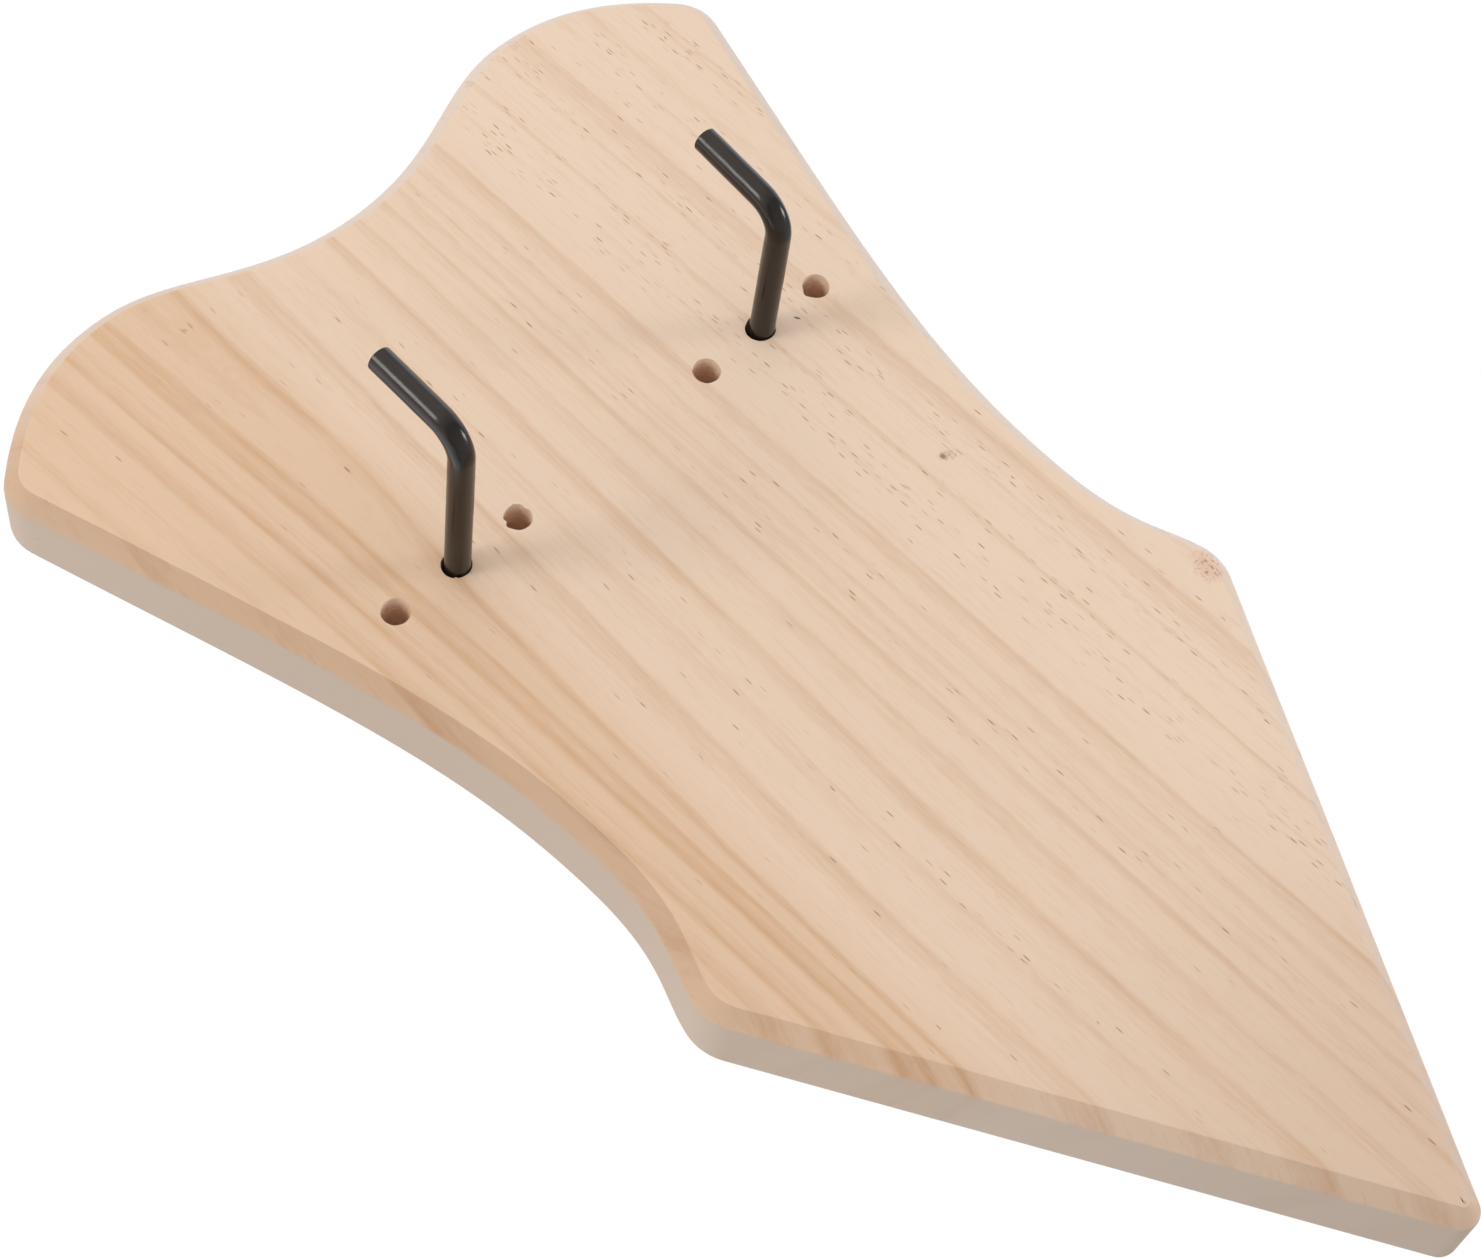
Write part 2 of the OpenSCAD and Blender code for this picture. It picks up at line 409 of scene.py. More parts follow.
def spot_distance(paint, x, z, centre_x, centre_z, long_half, wide_half, angle):
    """Distance on the front from an oval spot's centre, 1 at its outline. The angle in
    degrees turns its long axis from +X towards +Z."""
    aside = paint.math("SUBTRACT", x, centre_x)
    above = paint.math("SUBTRACT", z, centre_z)
    cosine = math.cos(math.radians(angle))
    sine = math.sin(math.radians(angle))
    along = paint.add(paint.times(aside, cosine / long_half),
                      paint.times(above, sine / long_half))
    across = paint.add(paint.times(aside, -sine / wide_half),
                       paint.times(above, cosine / wide_half))
    square = paint.add(paint.times(along, along), paint.times(across, across))
    wobble = paint.stretched_noise((x, 0.0, z), (0.9, 0.0, 0.9), detail=3.0)
    return paint.times(paint.math("SQRT", square), paint.line(wobble, 0.2, 0.8, 0.7, 1.3))


def paint_edge_and_tip_light(paint, colour, z, edge, sawn, far):
    """Paints shade on the near edges and at the tip, a pale highlight on the far edges, and the
    sawn upright edge's grey, which is partly painted shade.
    """
    near_edge = paint.times(edge, paint.line(far, 0.0, 1.0, 1.0, 0.0))
    # Painted shade on the near edges, a darkening that eases off below the hip
    near_shade = paint.mix(paint.ease(z, *HIP_HEIGHTS), NEAR_CHAMFER_SHADE, LOW_NEAR_CHAMFER_SHADE)
    colour = paint.mix(near_edge, colour, near_shade, blend="MULTIPLY")
    # Painted highlight on the far edges, mixed towards a pale colour
    colour = paint.mix(paint.times(edge, far, FAR_RIM_HIGHLIGHT_STRENGTH), colour, FAR_RIM_HIGHLIGHT)
    # Painted shade, darker towards the tip
    colour = paint.mix(paint.ease(z, *TIP_SHADE_HEIGHTS), colour, TIP_SHADE, blend="MULTIPLY")
    # Greyer upright edge: partly the sawn wood's own colour, partly painted shade
    return paint.mix(paint.times(sawn, SAWN_GREY_AND_SHADE_STRENGTH), colour, SAWN_GREY_AND_SHADE)


def stain_spots(paint, colour, x, z):
    """Adds the pin knot with its smear, the knot at the right hip and the fleck."""
    flecks = paint.stretched_noise((x, 0.0, z), (1.3, 0.0, 1.0), detail=3.0)
    smear = paint.ease(spot_distance(paint, x, z, *PIN_SMEAR), 0.4, 1.4, 1.0, 0.0)
    blotches = paint.line(flecks, 0.4, 0.6, 0.1, 0.75)
    colour = paint.mix(paint.times(smear, blotches), colour, PIN_RIM)
    pin = spot_distance(paint, x, z, *PIN_KNOT)
    colour = paint.mix(paint.ease(pin, 0.4, 1.5, 0.75, 0.0), colour, PIN_HEART)
    hip = paint.ease(spot_distance(paint, x, z, *HIP_KNOT), 0.6, 1.3, 1.0, 0.0)
    colour = paint.mix(paint.times(hip, 0.45), colour, KNOT_STAIN)
    specks = paint.ease(flecks, 0.53, 0.63, 0.0, 0.65)
    colour = paint.mix(paint.times(hip, specks), colour, KNOT_FLECKS)
    fleck = spot_distance(paint, x, z, *FLECK)
    return paint.mix(paint.ease(fleck, 0.6, 1.2, 0.85, 0.0), colour, FLECK_DARK)


def pine():
    """Planed and sanded pine: growth rings, fibres, resin canals and two knots."""
    paint = Paint("pine")
    x, y, z = paint.place_mm()
    across = ring_place(paint, x, y, z)
    late = paint.add(late_wood(paint, across, z), fine_lines(paint, across, y, z))
    dashes = canals(paint, across, z)

    normal = paint.node("SeparateXYZ", {0: paint.node("NewGeometry").outputs["Normal"]})
    facing = paint.math("ABSOLUTE", normal.outputs[1])
    edge = paint.ease(facing, *EDGE_FACING, 1.0, 0.0)
    sawn = paint.ease(facing, *SAWN_FACING, 1.0, 0.0)
    up_and_right = paint.math("ADD", normal.outputs[0], normal.outputs[2])
    far = paint.ease(up_and_right, *FAR_FACING)

    colour = paint.mix(paint.ease(across, *LEFT_TO_MIDDLE), EARLY_LEFT, EARLY_MIDDLE)
    colour = paint.mix(paint.ease(across, *MIDDLE_TO_RIGHT), colour, EARLY_RIGHT)
    # Far edges show less late wood, washed out under their painted highlight
    on_edge = paint.line(far, 0.0, 1.0, NEAR_EDGE_BANDING, FAR_EDGE_BANDING)
    banding = paint.add(BANDING, paint.times(edge, on_edge), paint.times(sawn, SAWN_BANDING))
    colour = paint.mix(paint.times(late, banding), colour, LATE)
    colour = paint.mix(paint.times(dashes, CANAL_STRENGTH), colour, CANAL)
    colour = paint_edge_and_tip_light(paint, colour, z, edge, sawn, far)
    colour = stain_spots(paint, colour, x, z)

    relief = paint.add(paint.times(late, -0.4), paint.times(dashes, -1.0))
    paint.shade(
        Base_Color=colour,
        Roughness=paint.line(late, 0.0, 1.5, 0.66, 0.52),
        Normal=paint.bump(relief, 0.35, 0.12 * MM),
        Specular_IOR_Level=0.3,
    )
    return paint.material


def drilled_wood():
    """Wall of a drilled hole: cut fibres with the marks of the turning bit, darker than the front
    partly by their own colour and partly as painted shade that sets in below the mouth.
    """
    paint = Paint("drilled_wood")
    place = paint.place_mm()
    bit_marks = paint.stretched_noise(place, (0.4, 2.2, 0.4), detail=3.0)
    fibres = paint.stretched_noise(place, (2.5, 0.8, 2.5))
    tone = paint.add(paint.times(bit_marks, 0.6), paint.times(fibres, 0.4))
    colour = paint.mix(paint.line(tone, 0.3, 0.7), DRILLED, DRILLED_PALE)
    depth = paint.math("SUBTRACT", place[1], FRONT_Y / MM)
    # Near the mouth the wall takes the front's colour, so the painted shade sets in deeper down
    unshaded_mouth = paint.ease(depth, 0.0, UNSHADED_MOUTH_MM, 0.7, 0.0)
    colour = paint.mix(unshaded_mouth, colour, EARLY_MIDDLE)
    paint.shade(
        Base_Color=colour,
        Roughness=paint.line(tone, 0.2, 0.8, 0.85, 0.7),
        Normal=paint.bump(tone, 0.5, 0.15 * MM),
        Specular_IOR_Level=0.25,
    )
    return paint.material


# ---------------------------------------------------------------- steel and sleeve

STEEL_BRIGHT = srgb(172, 170, 168)
STEEL_STAINED = srgb(120, 112, 104)
# The sleeve's own black, warmed towards brown as a painted reflection of the wood
SLEEVE_BLACK = srgb(24, 17, 12)
SLEEVE_DUSTY = srgb(33, 28, 24)
# Painted reflection: a warm tint on the sleeve's reflections, standing in for the wood reflected
# in it
SLEEVE_WOOD_REFLECTION_TINT = (1.0, 0.90, 0.83, 1.0)


def steel():
    """Bright bar, drawn along its length and cropped at its ends."""
    paint = Paint("steel")
    place = paint.place_mm()
    scratches = paint.stretched_noise(place, (6, 1.2, 1.2), detail=4.0)
    stain = paint.stretched_noise(place, (0.8, 0.8, 0.8), detail=3.0)
    colour = paint.mix(paint.line(stain, 0.35, 0.7), STEEL_BRIGHT, STEEL_STAINED)
    paint.shade(
        Base_Color=colour,
        Metallic=1.0,
        Roughness=paint.line(scratches, 0.2, 0.8, 0.32, 0.5),
        Normal=paint.bump(scratches, 0.3, 0.03 * MM),
    )
    return paint.material


def shrink_sleeve():
    """Black polyolefin shrink sleeve: satin, faintly pebbled, dusty in places; its reflections
    carry a painted warm tint of the wood.
    """
    paint = Paint("shrink_sleeve")
    place = paint.place_mm()
    pebbles = paint.noise(paint.point(*place), detail=3.0, roughness=0.6)
    dust = paint.stretched_noise(place, (0.18, 0.18, 0.18), 4.0, 0.65)
    colour = paint.mix(paint.ease(dust, 0.4, 0.75), SLEEVE_BLACK, SLEEVE_DUSTY)
    paint.shade(
        Base_Color=colour,
        Roughness=paint.add(paint.line(dust, 0.3, 0.7, 0.17, 0.27),
                            paint.line(pebbles, 0.0, 1.0, -0.03, 0.03)),
        Normal=paint.bump(pebbles, 0.09, 0.10 * MM),
        # Painted reflection of the wood: the reflections are tinted warm
        Specular_Tint=SLEEVE_WOOD_REFLECTION_TINT,
        Specular_IOR_Level=0.4,
    )
    return paint.material


# ---------------------------------------------------------------- board mesh

OUTLINE_STEP = 1.2 * MM      # spacing of the points along the board's outline
FACE_REACH = 0.22 * MM       # how far the face's edge is rounded into the chamfer
WALL_REACH = 0.9 * MM        # how far the chamfer is rounded into the upright edge
BACK_REACH = 0.7 * MM        # how far the back edge is rounded
FLAT_REACH = 1.2 * MM        # flat margin inside the front's and the back's edges
HAND_SANDING = 0.18 * MM     # how much the chamfer's width wanders
SANDING_WAVES = 45           # noise cells per metre of that wandering
WEAR_WAVES = 22              # noise cells per metre of the wear along the edge
WORN_DEEPER = 1.2 * MM       # how much deeper the chamfer is at the worn left shoulder

# The worn left shoulder: (x, z, reach)
WORN_CORNER = (-98 * MM, 66 * MM, 24 * MM)


def unit(rows):
    return rows / np.linalg.norm(rows, axis=1)[:, None]


def ordered_outline():
    """The board's outline as the CAD has it, clockwise seen from the front, as (x, z)."""
    ring = points_at_depth(BOARD, WALL_Y)
    centre = (ring.min(0) + ring.max(0)) / 2
    turn = np.arctan2(ring[:, 1] - centre[1], ring[:, 0] - centre[0])
    return ring[np.argsort(-turn)]


def smooth_outline():
    """The outline with its facets rounded: a cubic between neighbours, with straight
    runs kept straight because the longer edge sets the direction at a point."""
    corners = ordered_outline()
    edges = np.roll(corners, -1, axis=0) - corners
    lengths = np.linalg.norm(edges, axis=1)
    pull = edges * lengths[:, None]
    heading = unit(pull + np.roll(pull, 1, axis=0))
    points = []
    for i, length in enumerate(lengths):
        j = (i + 1) % len(corners)
        steps = max(1, round(length / OUTLINE_STEP))
        for t in np.arange(steps) / steps:
            points.append(
                (2 * t**3 - 3 * t**2 + 1) * corners[i]
                + (t**3 - 2 * t**2 + t) * length * heading[i]
                + (3 * t**2 - 2 * t**3) * corners[j]
                + (t**3 - t**2) * length * heading[j]
            )
    return np.clip(points, (BOARD_LOW.x, BOARD_LOW.z), (BOARD_HIGH.x, BOARD_HIGH.z))


def outward(outline):
    """Outward directions of a clockwise outline of (x, z) rows."""
    along = unit(np.roll(outline, -1, axis=0) - np.roll(outline, 1, axis=0))
    return np.stack([-along[:, 1], along[:, 0]], axis=1)


def round_corner(before, corner, after, reach, steps=4):
    """Points that round a corner off, from reach before it to reach after it."""
    start = corner + reach * (before - corner).normalized()
    end = corner + reach * (after - corner).normalized()
    shares = [i / steps for i in range(steps + 1)]
    return [start.lerp(corner, t).lerp(corner.lerp(end, t), t) for t in shares]


def edge_profile(chamfer_w, deeper, wall_reach):
    """Section of the board's edge, front to back, as (distance in from the outline, y).
    The chamfer goes deeper than the CAD's by the given distance."""
    face = Vector((chamfer_w, FRONT_Y))
    wall = Vector((0.0, WALL_Y + deeper))
    back = Vector((0.0, BACK_Y))
    front_flat = face + Vector((FLAT_REACH, 0.0))
    back_flat = back + Vector((FLAT_REACH, 0.0))
    return (
        [front_flat]
        + round_corner(front_flat, face, wall, FACE_REACH)
        + round_corner(face, wall, back, wall_reach, steps=5)
        + round_corner(wall, back, back_flat, BACK_REACH)
        + [back_flat]
    )


def board_blank():
    """The undrilled board, as a closed bmesh."""
    outline = smooth_outline()
    out = outward(outline)
    front_ring = points_at_depth(BOARD, FRONT_Y)
    chamfer_w = BOARD_HIGH.x - front_ring[:, 0].max()
    worn_x, worn_z, worn_reach = WORN_CORNER
    body = bmesh.new()
    columns = []
    for (x, z), (out_x, out_z) in zip(outline, out):
        wander = noise.noise(Vector((x, z, 0.0)) * SANDING_WAVES)
        wear = 0.5 + 0.5 * noise.noise(Vector((x, z, 0.5)) * WEAR_WAVES)
        worn = math.exp(-((math.hypot(x - worn_x, z - worn_z) / worn_reach) ** 2))
        profile = edge_profile(chamfer_w + HAND_SANDING * wander, WORN_DEEPER * worn,
                               WALL_REACH * (0.5 + wear + worn))
        columns.append([body.verts.new((x - inset * out_x, y, z - inset * out_z))
                        for inset, y in profile])
    for left, right in zip(columns, columns[1:] + columns[:1]):
        for row in range(len(left) - 1):
            body.faces.new((left[row], right[row], right[row + 1], left[row + 1]))
    body.faces.new([column[0] for column in reversed(columns)])
    body.faces.new([column[-1] for column in columns])
    bmesh.ops.recalc_face_normals(body, faces=body.faces)
    return body


def loft(rings):
    """A closed bmesh through rings of equally many points, capped at both ends."""
    body = bmesh.new()
    rows = [[body.verts.new(point) for point in ring] for ring in rings]
    for near, far in zip(rows, rows[1:]):
        for i in range(len(near)):
            j = (i + 1) % len(near)
            body.faces.new((near[i], near[j], far[j], far[i]))
    body.faces.new(list(reversed(rows[0])))
    body.faces.new(rows[-1])
    bmesh.ops.recalc_face_normals(body, faces=body.faces)
    return body


HOLE_SIDES = 80
CUTTER_CLEAR = 2 * MM        # how far a cutter stands clear of the faces it enters
CUTTER_OVERLAP = 0.05 * MM   # how far one cutter of a keyhole reaches into the next

# Depth of each ring of a hole's cutter behind the front, and its share of the tears
MOUTH = [(-2.0, 1.0), (0.0, 1.0), (0.15, 0.9), (0.5, 0.6), (1.1, 0.2), (2.0, 0.0)]

# The same for the wear round a peg, which goes deeper
WORN = [(-2.0, 1.0), (0.0, 1.0), (1.5, 0.95), (4.0, 0.7), (7.0, 0.25), (9.0, 0.0)]

# Share of the tears where a hole leaves the back, and how far in they reach
BACK_TEARS = 0.25
BACK_TEARS_REACH = 0.5 * MM

RIPPLE = 0.05                # fine unevenness of a hole's mouth, in mm
RIPPLE_WAVES = 4             # how fast it changes round the mouth

# Tears at the holes' mouths: (angle from +X towards +Z, half width, size in mm);
# wood is missing where the size is positive, and a splinter stands in where it isn't
TEARS = {
    "hole_left_outer": [(46, 42, 0.32), (150, 30, 0.06), (215, 25, 0.08)],
    "hole_left_inner": [(46, 40, 0.25), (62, 8, 0.20), (16, 12, -0.42), (161, 9, -0.45),
                        (130, 12, 0.10), (185, 10, 0.20)],
    "hole_right_inner": [(46, 42, 0.28), (75, 12, 0.08), (15, 14, 0.10), (135, 12, 0.14),
                         (-45, 14, 0.10), (228, 14, 0.10)],
    "hole_right_outer": [(46, 42, 0.32), (181, 17, 0.42), (155, 10, -0.12), (20, 14, 0.08)],
    "left_peg": [(146, 60, 0.42), (206, 40, 0.28), (-20, 15, 0.10), (222, 5, -0.30)],
    "right_peg": [(130, 60, 0.50), (176, 45, 0.35), (88, 16, 0.30), (222, 25, 0.12)],
}


def tear_size(tears, angle, seed):
    """How far a hole's mouth departs from round at an angle, in metres."""
    turn = Vector((math.cos(angle) * RIPPLE_WAVES, math.sin(angle) * RIPPLE_WAVES, seed))
    size = RIPPLE * noise.noise(turn)
    for at, half_width, height in tears:
        away = (math.degrees(angle) - at + 180) % 360 - 180
        size += height * math.exp(-((away / half_width) ** 2))
    return size * MM


def hole_cutter(x, z, radius, tears, shares):
    """Cutter for a peg hole: true to its radius, with a torn or worn mouth."""
    angles = [2 * math.pi * i / HOLE_SIDES for i in range(HOLE_SIDES)]
    sizes = [tear_size(tears, angle, x / MM) for angle in angles]
    levels = [(FRONT_Y + depth * MM, share) for depth, share in shares]
    levels.append((BACK_Y - BACK_TEARS_REACH, 0.0))
    levels.append((BACK_Y, BACK_TEARS))
    levels.append((BACK_Y + CUTTER_CLEAR, BACK_TEARS))
    rings = []
    for y, share in levels:
        ring = []
        for angle, size in zip(angles, sizes):
            reach = radius + share * size
            ring.append((x + reach * math.cos(angle), y, z + reach * math.sin(angle)))
        rings.append(ring)
    return loft(rings)


def slot_cutter(x, low_z, high_z, radius, near_y, far_y):
    """Cutter for an upright groove with round ends."""
    half = HOLE_SIDES // 2
    ring = []
    for centre_z, start in ((high_z, 0.0), (low_z, math.pi)):
        for i in range(half + 1):
            angle = start + math.pi * i / half
            ring.append((x + radius * math.cos(angle), centre_z + radius * math.sin(angle)))
    return loft([[(px, y, pz) for px, pz in ring] for y in (near_y, far_y)])


def keyhole_cutters(x):
    """Cutters for one keyhole, sized from the CAD board's own vertices."""
    entry = mount("keyhole_entries")
    entry_z = entry["pos_m"][2]
    head_r = entry["dims"]["hole_r_mm"] * MM

    def top_near(depth):
        """Top of the keyhole at a depth; the board's outline lies beyond the reach."""
        ring = points_at_depth(BOARD, depth)
        near = (abs(ring[:, 0] - x) < 2 * head_r) & (ring[:, 1] > entry_z)
        near &= ring[:, 1] < entry_z + 6 * head_r
        return ring[near][:, 1].max()

    rise = top_near(KEY_FLOOR_Y) - head_r - entry_z
    shank_r = top_near(BACK_Y) - rise - entry_z
    behind = BACK_Y + CUTTER_CLEAR
    through_lip = KEY_LIP_Y - CUTTER_OVERLAP
    return [
        slot_cutter(x, entry_z, entry_z, head_r, behind, through_lip),
        slot_cutter(x, entry_z, entry_z + rise, shank_r, behind, through_lip),
        slot_cutter(x, entry_z, entry_z + rise, head_r, KEY_LIP_Y, KEY_FLOOR_Y),
    ]


def object_from(body, name):
    """Turns a bmesh into a mesh object in the scene."""
    mesh = bpy.data.meshes.new(name)
    body.to_mesh(mesh)
    body.free()
    made = bpy.data.objects.new(name, mesh)
    bpy.context.scene.collection.objects.link(made)
    return made


def cut(target, cutter_body):
    """Cuts a shape out of an object for good."""
    cutter = object_from(cutter_body, "cutter")
    modifier = target.modifiers.new("cut", "BOOLEAN")
    modifier.operation = "DIFFERENCE"
    modifier.solver = "EXACT"
    modifier.object = cutter
    bpy.context.view_layer.update()
    evaluated = target.evaluated_get(bpy.context.evaluated_depsgraph_get())
    mesh = bpy.data.meshes.new_from_object(evaluated)
    target.modifiers.clear()
    target.data = mesh
    cutter_mesh = cutter.data
    bpy.data.objects.remove(cutter)
    bpy.data.meshes.remove(cutter_mesh)


def peg_holes():
    """The six holes as (name, x, z, radius, rings of the mouth)."""
    holes = []
    for side in ("left", "right"):
        outer = mount(f"hole_{side}_outer")
        inner = mount(f"hole_{side}_inner")
        radius = outer["dims"]["r_mm"] * MM
        middle_x = (outer["pos_m"][0] + inner["pos_m"][0]) / 2
        for hole in (outer, inner):
            holes.append((hole["name"], hole["pos_m"][0], hole["pos_m"][2], radius, MOUTH))
        holes.append((f"{side}_peg", middle_x, outer["pos_m"][2], radius, WORN))
    return holes


def sharpen(mesh, angle_deg):
    """Smooth shading everywhere but across edges that fold more than the angle."""
    body = bmesh.new()
    body.from_mesh(mesh)
    for face in body.faces:
        face.smooth = True
    for edge in body.edges:
        shared = len(edge.link_faces) == 2
        edge.smooth = not (shared and edge.calc_face_angle() > math.radians(angle_deg))
    body.to_mesh(mesh)
    body.free()


BOARD_FOLD = 32              # folds of the board sharper than this stay sharp, in degrees
DRILLED_MARGIN = 1.2 * MM    # how far round a hole its own material reaches
FLAT_FACING = 0.9            # the normal's y from which a face belongs to the front or back


def build_board():
    """The dressed board: rounded edges, torn hole mouths and keyhole slots."""
    board = object_from(board_blank(), "pine_board")
    holes = peg_holes()
    for name, x, z, radius, shares in holes:
        cut(board, hole_cutter(x, z, radius, TEARS[name], shares))
    key_x = mount("keyhole_entries")["dims"]["spacing_x_mm"] * MM / 2
    for x in (-key_x, key_x):
        for cutter in keyhole_cutters(x):
            cut(board, cutter)
    sharpen(board.data, BOARD_FOLD)
    board.data.materials.clear()
    board.data.materials.append(pine())
    board.data.materials.append(drilled_wood())
    for face in board.data.polygons:
        centre = face.center
        for _, x, z, radius, _ in holes:
            inside = math.hypot(centre.x - x, centre.z - z) < radius + DRILLED_MARGIN
            if inside and abs(face.normal.y) < FLAT_FACING:
                face.material_index = 1
    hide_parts("board")
    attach(board, "root")


# ---------------------------------------------------------------- sleeves

SLEEVE_SIDES = 84
LEG_STEP = 0.7 * MM          # spacing of the rings along the leg
ARM_STEP = 0.25 * MM         # spacing of the rings along the arm
BEND_STEPS = 36
SLEEVE_FIT = 0.02 * MM       # air between the sleeve and the rod
LIP_REACH = 0.25 * MM        # how far the sleeve's cut ends are rounded
PEBBLE = 0.035 * MM          # waviness of the shrunk surface
WRINKLE = 0.13 * MM          # folds inside the bend
THINNING = 0.10 * MM         # how much thinner the sleeve is outside the bend
SLEEVE_FOLD = 50             # folds of the sleeve sharper than this stay sharp, in degrees
LIP_STEPS = 5
BORE_STRIDE = 4              # the bore has a ring at every fourth ring of the skin

SKIN_SEED = {"left": 3.0, "right": 11.0}
SKIN_ROUND = 1.2             # how fast the waviness changes round the sleeve
SKIN_ALONG = 0.32            # and along it, per mm
FINE_WAVES = 1.4
BROAD_WAVES = 0.48
BEND_SPREAD = 0.62           # reach of the bend's folds each way, as a share of its arc
FOLD_PHASE = 4.6             # turn of the folds' wave per mm, in radians
SCARRED = 9 * MM             # length of the arm's end that carries scars

# How near to a sleeve's furthest point its end faces and its underside are looked for
FOOT_BAND = 0.05 * MM
TIP_BAND = 0.7 * MM
UNDERSIDE_BAND = 0.02 * MM

# Scars along the arms: (start, end, depth, half width), where start and end are
# (distance from the arm's end in mm, angle round the arm) and angle 0 faces the bend's
# inner side; depth and half width are in mm
SCARS = {
    "left": [((1.2, -95), (2.0, -88), 0.10, 0.28), ((3.4, -100), (3.9, -96), 0.08, 0.22),
             ((5.6, -92), (6.6, -90), 0.07, 0.25)],
    "right": [((0.8, -120), (7.4, -60), 0.09, 0.26), ((3.2, -97), (6.0, -92), 0.07, 0.22)],
}


class PegPath:
    """Centre line of a peg as its CAD sleeve has it: a leg out of the board, a bend, and
    an arm that points up, turned a little about the leg."""

    def __init__(self, side):
        node = frame["nodes"][f"{side}_sleeve"]
        points = np.array([v.co for v in node.data.vertices])
        low, high = points.min(0), points.max(0)
        foot = points[points[:, 1] > high[1] - FOOT_BAND]
        self.radius = float(foot[:, 2].max() - foot[:, 2].min()) / 2
        foot_x = (foot[:, 0].max() + foot[:, 0].min()) / 2
        foot_z = (foot[:, 2].max() + foot[:, 2].min()) / 2
        self.foot = Vector((foot_x, high[1], foot_z))
        self.elbow = Vector((foot_x, low[1] + self.radius, foot_z))
        tip = points[points[:, 2] > high[2] - TIP_BAND]
        tip_x = (tip[:, 0].max() + tip[:, 0].min()) / 2
        tip_z = (tip[:, 2].max() + tip[:, 2].min()) / 2
        arm = Vector((tip_x - foot_x, 0.0, tip_z - foot_z))
        self.arm_length = arm.length
        self.up = arm.normalized()
        underside = points[points[:, 2] < low[2] + UNDERSIDE_BAND]
        self.bend_r = float(underside[:, 1].min()) - self.elbow.y
        self.out = Vector((0.0, -1.0, 0.0))
        self.leg_length = (self.elbow - self.foot).length

    def stations(self):
        """Rows of (centre, direction, inner side, distance past the start of the bend,
        distance to the arm's end), from the foot to the end."""
        rows = []
        straight = self.leg_length - self.bend_r
        arm_straight = self.arm_length - self.bend_r
        arc = self.bend_r * math.pi / 2
        steps = round(straight / LEG_STEP)
        for i in range(steps):
            at = straight * i / steps
            centre = self.foot + self.out * at
            rows.append((centre, self.out, self.up, at - straight, arm_straight + arc))
        pivot = self.foot + self.out * straight + self.up * self.bend_r
        for i in range(BEND_STEPS):
            share = i / BEND_STEPS
            angle = share * math.pi / 2
            inward = self.up * math.cos(angle) - self.out * math.sin(angle)
            along = self.out * math.cos(angle) + self.up * math.sin(angle)
            to_end = arm_straight + arc * (1 - share)
            rows.append((pivot - inward * self.bend_r, along, inward, share * arc, to_end))
        steps = round(arm_straight / ARM_STEP)
        for i in range(steps + 1):
            at = arm_straight * i / steps
            centre = self.elbow + self.up * (self.bend_r + at)
            rows.append((centre, self.up, -self.out, arc + at, arm_straight - at))
        return rows


def scar_depth(scars, to_end, angle, radius):
    """Depth of the scars at a place on the arm, in metres."""
    deepest = 0.0
    here = Vector((to_end / MM, math.radians(angle) * radius / MM))
    for (start_at, start_angle), (end_at, end_angle), depth, half_width in scars:
        start = Vector((start_at, math.radians(start_angle) * radius / MM))
        end = Vector((end_at, math.radians(end_angle) * radius / MM))
        along = end - start
        share = min(1.0, max(0.0, (here - start).dot(along) / along.length_squared))
        away = (here - start - along * share).length / half_width
        deepest = max(deepest, depth * math.exp(-away * away))
    return deepest * MM


def sleeve_sink(path, side, angle, bend_at, to_end):
    """How far the sleeve's skin lies inside its nominal radius at a place."""
    arc = path.bend_r * math.pi / 2
    inner = max(0.0, math.cos(angle))
    outer = max(0.0, -math.cos(angle))
    seed = SKIN_SEED[side]
    place = Vector((
        math.cos(angle) * SKIN_ROUND,
        math.sin(angle) * SKIN_ROUND,
        bend_at / MM * SKIN_ALONG + seed,
    ))
    sink = PEBBLE * (0.5 + 0.5 * noise.noise(place * FINE_WAVES))
    sink += PEBBLE * (0.5 + 0.5 * noise.noise(place * BROAD_WAVES))
    within = math.exp(-(((bend_at - arc / 2) / (BEND_SPREAD * arc)) ** 4))
    sink += THINNING * outer * within
    ripple = 0.5 + 0.5 * math.cos(bend_at / MM * FOLD_PHASE + seed)
    sink += WRINKLE * inner**2 * within * ripple
    if to_end < SCARRED:
        sink += scar_depth(SCARS[side], to_end, math.degrees(angle), path.radius)
    return sink


